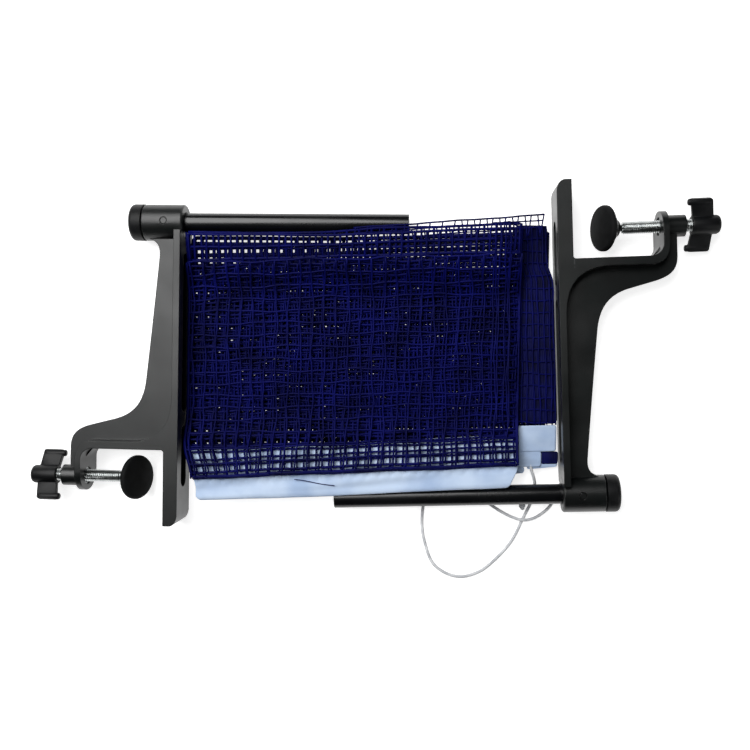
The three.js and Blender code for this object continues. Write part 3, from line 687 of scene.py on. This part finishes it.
def cloth(name, point, thickness, steps, material, replaced):
    """A closed strip of cloth with soft edges: point(u, v) is on its upper face, u and v from 0 to 1."""
    along, across = steps
    us = [0, 0.25 / along] + [i / along for i in range(1, along)] + [1 - 0.25 / along, 1]
    vs = [0, 0.25 / across] + [j / across for j in range(1, across)] + [1 - 0.25 / across, 1]
    vertices, faces, upper, lower = [], [], {}, {}
    for i, u in enumerate(us):
        for j, v in enumerate(vs):
            p = Vector(point(u, v))
            rim = i in (0, len(us) - 1) or j in (0, len(vs) - 1)
            upper[i, j] = len(vertices)
            vertices.append((p - Vector((0, 0, thickness / 2 if rim else 0)) + net_origin) * MM)
            lower[i, j] = upper[i, j]
            if not rim:
                lower[i, j] = len(vertices)
                vertices.append((p - Vector((0, 0, thickness)) + net_origin) * MM)
    for i in range(len(us) - 1):
        for j in range(len(vs) - 1):
            corners = [(i, j), (i + 1, j), (i + 1, j + 1), (i, j + 1)]
            faces.append(tuple(upper[c] for c in corners))
            faces.append(tuple(lower[c] for c in reversed(corners)))
    made = new_object(name, vertices, faces, material)
    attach(made, "net")
    if replaced:
        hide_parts(replaced)


def tape_edge(x):
    """The tape's lower edge, on the slant that the packet was folded at."""
    return -32.1 + 0.0688 * (x - 20) - 0.7 * math.sin(math.pi * eased((x - 20) / 150))


def corner(distance, radius):
    """How far a rounded corner draws an edge in, at a distance from the other edge."""
    return radius - math.sqrt(radius ** 2 - max(0.0, radius - distance) ** 2)


def tape_point(u, v):
    """The tape's upper face, with the cord's swell, the gathers under the mesh and a soft fold."""
    up = tape_width * v
    left = 13.3 + 6.2 * eased((28 - up) / 20) + corner(up, 4.5)
    right = 223.6 - 5.0 * eased((14 - up) / 14) - corner(up, 3.0)
    x = left + (right - left) * u
    y = tape_edge(x) + up
    cord_swell = 0.8 * math.exp(-((up - 2.4) / 1.5) ** 2)
    pinch = 0.5 - 0.5 * math.cos(2 * math.pi * (x - 13) / net_pitch)
    gathers = 1.3 * (pinch ** 0.5 - 1) * math.exp(-((up - 13.0) / 2.8) ** 2)
    soft = 0.9 * math.sin(0.045 * x - 0.42 * up) * math.exp(-((up - 8) / 5.5) ** 2)
    soft += 0.3 * math.sin(0.19 * x + 0.2 * up + 1)
    return x, y, fold_height(y) + 1.7 + cord_swell + gathers + soft


cloth(
    "tape_band", tape_point, thickness=1.3, steps=(196, 26), material=tape_cloth,
    replaced="top_tape",
)

# A loose end of navy sewing thread that lies on the tape
vertices, faces = [], []
thread_path = []
thread_steps = 24
sewing_radius = 0.28
for i in range(thread_steps + 1):
    t = i / thread_steps
    x = 83.5 + 25.5 * t
    y = -16.6 - 3.4 * t + 0.2 * math.sin(7 * t)
    thread_path.append((Vector((x, y, fold_height(y) + 2.9)) + net_origin) * MM)
strand(thread_path, sewing_radius * MM, 6, vertices, faces)
thread = new_object("loose_sewing_thread", vertices, faces, net_yarn)
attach(thread, "net")


# Net end: hem and folded tape ends
# The net's end is hemmed with a doubled navy band. Beside it the tape's ends are folded back on
# themselves into small flat packets that lie on the rear folds.

def packet_point(x0, x1, y0, y1, top, skew, radius, fold):
    """The upper face of a folded packet between x0, x1, y0 and y1, a little askew, with corners of
    that radius and a soft fold."""
    def point(u, v):
        up = (y1 - y0) * v
        inset = corner(min(up, (y1 - y0) - up), radius)
        left = x0 + inset
        right = x1 - inset
        x = left + (right - left) * u
        y = y0 + up + skew * (x - x0)
        swell = 0.4 * math.sin(math.pi * u) * math.sin(math.pi * v)
        return x, y, top - 0.5 + swell + fold * math.cos(2 * math.pi * (v * 1.6 + 0.3 * u))
    return point


# Netting doubled and sewn flat: the darkest navy on the set, dull and finely ribbed
hem_cloth = new_material("doubled_navy_netting_hem")
place = add(hem_cloth, "TexCoord")
patches = add(hem_cloth, "TexNoise", {"Scale": 90, "Detail": 3}, {"Vector": (place, "Object")})
patch_colour = tinted(hem_cloth, (patches, "Fac"), [(0.38, "#01032a"), (0.62, "#050a48")])
# Ribs of about 1 mm, side by side
knit = add(hem_cloth, "TexWave", {"Scale": 300, "Distortion": 2.0, "bands_direction": "X"}, {
    "Vector": (place, "Object"),
})
knit_bump = add(hem_cloth, "Bump", {"Strength": 0.5, "Distance": 0.0003}, {"Height": (knit, "Fac")})
hem_shader = add(
    hem_cloth, "BsdfPrincipled", {"Roughness": 0.66, "Specular IOR Level": 0.12},
    {"Base Color": (patch_colour, "Color"), "Normal": (knit_bump, "Normal")},
)
add(hem_cloth, "OutputMaterial", {}, {"Surface": (hem_shader, "BSDF")})


hem_left = 220.5
hem_edge = 248.4
hem_foot = 21.2
hem_length = 125.0
hem_yarn = 0.56


def hem_right(y):
    """The hem's free edge, which runs along the right bracket's upright and draws in at the top."""
    return hem_edge - 0.0478 * (y - 21) - 3.0 * eased((y - 110) / 12)


def hem_point(u, v):
    """The hem's upper face, with rounded corners."""
    y = hem_foot + hem_length * v
    inset = corner(min(y - hem_foot, hem_foot + hem_length - y), 3.0)
    x = hem_left + (hem_right(y) - hem_left - inset) * u
    return x, y, 8.9 + 0.4 * math.sin(math.pi * u) + 0.15 * math.cos(9 * v + 2 * u)


cloth(
    "hem_band", hem_point, thickness=1.6, steps=(14, 60), material=hem_cloth,
    replaced="side_hem",
)
hem_corner_point = packet_point(238.6, 249.3, -4.8, 3.2, 9.0, 0.05, 1.5, 0.1)
cloth(
    "hem_corner", hem_corner_point, thickness=1.6, steps=(10, 8), material=hem_cloth,
    replaced="hem_end",
)
# Each packet's x0, x1, y0, y1, top, skew, radius and fold
for name, place, replaced in (
    ("tape_end_block", (222.6, 247.8, 2.6, 19.4, 10.2, 0.045, 1.6, 0.12), "tape_end_upper"),
    ("tape_end_tab", (220.4, 238.8, -7.0, 3.0, 9.8, 0.04, 2.0, 0.12), "tape_end_lower"),
    ("tape_corner_tip", (219.5, 228.4, -11.6, -7.2, 8.6, 0.1, 1.9, 0.05), None),
    ("tape_edge_tip", (230.0, 249.0, -8.4, -4.6, 8.4, 0.12, 1.3, 0.02), None),
):
    cloth(
        name, packet_point(*place), thickness=1.5, steps=(18, 14), material=tape_cloth,
        replaced=replaced,
    )

# The two outermost rows of cells beside the hem, drawn in towards the tape's end
hem_columns = (206.2, 209.6, 213.9, 217.2, 221.8, 226.1, 229.6, 233.8, 237.5, 241.7, 245.2, 247.4)
column_lie = 9.9
hem_rows = 17
hem_pitch = 7.7
row_lie = 9.7
vertices, faces = [], []
for x in hem_columns:
    wander = waver(0.5, 50)
    path = []
    for k in range(41):
        y = 20.6 + 3.12 * k
        lift = column_lie if x > 221 else fold_height(y) + 6.6
        drawn = (hem_right(y) - hem_edge) * eased((x - 205) / 40)
        path.append((Vector((x + drawn + wander(y), y, lift)) + net_origin) * MM)
    strand(path, hem_yarn * MM, 5, vertices, faces)
for j in range(hem_rows):
    wander = waver(0.6, 30)
    y = 21.9 + hem_pitch * j
    path = []
    for k in range(15):
        x = 204.6 + (hem_right(y) - 205.4) * k / 14
        lift = row_lie
        if x <= 221:
            lift += (fold_height(y) + 6.2 - row_lie) * eased((222 - x) / 8)
        path.append((Vector((x, y + wander(x), lift)) + net_origin) * MM)
    strand(path, hem_yarn * MM, 5, vertices, faces)
hem_cells = new_object("hem_netting", vertices, faces, net_yarn)
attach(hem_cells, "net")


# Open layer
# The one run of netting that has slipped up past the others. Its edge lies over the left tube's tip,
# on its own, so its cells stay open and are drawn askew.

def open_edge(x):
    """The slipped run's outer edge."""
    return 142.0 + 0.0763 * (x - 118)


vertices, faces = [], []
open_lie = tube_top + 0.75
open_depth = 12.5
open_yarn = 0.48
open_rows = ((0.0, 118.0, 236.2, 0.62), (3.5, 118.5, 235.6, 0.5), (7.7, 119.0, 235.8, 0.5))
for shift, first, last, radius in open_rows:
    wander = waver(0.25, 52)
    path = []
    for k in range(41):
        x = first + (last - first) * k / 40
        path.append((Vector((x, open_edge(x) - shift + wander(x), open_lie)) + net_origin) * MM)
    strand(path, radius * MM, 5, vertices, faces)
open_columns = 31
for i in range(open_columns):
    x = 119.5 + net_pitch / 2 * i
    foot = x + (1.9 if i % 2 else -1.9) + random.uniform(-0.5, 0.5)
    top = open_edge(x) - (0.0 if i % 2 == 0 or x > 178 else 3.5)
    path = []
    for k in range(7):
        t = k / 6
        path.append((Vector((
            x + (foot - x) * t,
            top + (open_edge(x) - open_depth - top) * t,
            open_lie + 0.45,
        )) + net_origin) * MM)
    strand(path, open_yarn * MM, 5, vertices, faces)
open_layer = new_object("net_slipped_edge", vertices, faces, net_yarn)
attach(open_layer, "net")
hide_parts("net_open_layer")


# Floor and light
# A wide sheet of white paper on a table, under a wide soft lamp at the upper left and a small weak
# one at the lower right.

# Uncoated paper: plain white and matt, with a grain too fine to see but for the shadows
paper = new_material("white_paper")
place = add(paper, "TexCoord")
grain = add(paper, "TexNoise", {"Scale": 900, "Detail": 4}, {"Vector": (place, "Object")})
grain_bump = add(paper, "Bump", {"Strength": 0.08, "Distance": 0.0001}, {"Height": (grain, "Fac")})
paper_shader = add(
    paper, "BsdfPrincipled",
    {"Base Color": linear("#e4e4e4"), "Roughness": 0.9, "Specular IOR Level": 0.1},
    {"Normal": (grain_bump, "Normal")},
)
glow = add(paper, "Emission", {"Color": linear("#ffffff"), "Strength": 0.78})
path_kind = add(paper, "LightPath")
seen = add(paper, "Math", {"operation": "MAXIMUM"}, {
    0: (path_kind, "Is Camera Ray"), 1: (path_kind, "Is Glossy Ray"),
})
no_glow = add(paper, "Emission", {"Color": linear("#000000"), "Strength": 0.0})
lit = add(paper, "MixShader", {}, {"Fac": (seen, "Value"), 1: (no_glow, "Emission"), 2: (glow, "Emission")})
both = add(paper, "AddShader", {}, {0: (paper_shader, "BSDF"), 1: (lit, "Shader")})
add(paper, "OutputMaterial", {}, {"Surface": (both, "Shader")})
wide = 6.0
floor = new_object(
    "floor", [(-wide, -wide, 0), (wide, -wide, 0), (wide, wide, 0), (-wide, wide, 0)],
    [(0, 1, 2, 3)], paper, smooth=False,
)

world = bpy.data.worlds.new("studio")
bpy.context.scene.world = world
world.use_nodes = True
# A pale room to the left and above, dim to the right and towards the floor
heading = add(world, "TexCoord")
split = add(world, "SeparateXYZ", {}, {"Vector": (heading, "Generated")})
room_side = add(world, "MapRange", {"From Min": 0.15, "From Max": -0.7, "To Min": 0.05, "To Max": 0.5}, {
    "Value": (split, "X"),
})
room_height = add(world, "MapRange", {"From Min": 0.0, "From Max": 0.7, "To Min": 0.25, "To Max": 1.0}, {
    "Value": (split, "Z"),
})
room = add(world, "Math", {"operation": "MULTIPLY"}, {
    0: (room_side, "Result"), 1: (room_height, "Result"),
})
sight = add(world, "LightPath")
backdrop = add(world, "Math", {"operation": "MAXIMUM"}, {0: (sight, "Is Camera Ray"), 1: (room, "Value")})
background = world.node_tree.nodes["Background"]
world.node_tree.links.new(backdrop.outputs["Value"], background.inputs["Strength"])

for name, place, size, watts in (
    ("softbox", (-0.5, 0.5, 1.15), (1.1, 1.0), 22),
    ("fill_lamp", (1.1, -0.6, 0.8), (0.4, 0.4), 3),
):
    lamp = bpy.data.lights.new(name, "AREA")
    lamp.shape = "RECTANGLE"
    lamp.size, lamp.size_y = size
    lamp.energy = watts
    lamp_object = bpy.data.objects.new(name, lamp)
    lamp_object.location = place
    lamp_object.rotation_euler = (Vector((0, 0, 0)) - Vector(place)).to_track_quat("-Z", "Y").to_euler()
    bpy.context.scene.collection.objects.link(lamp_object)
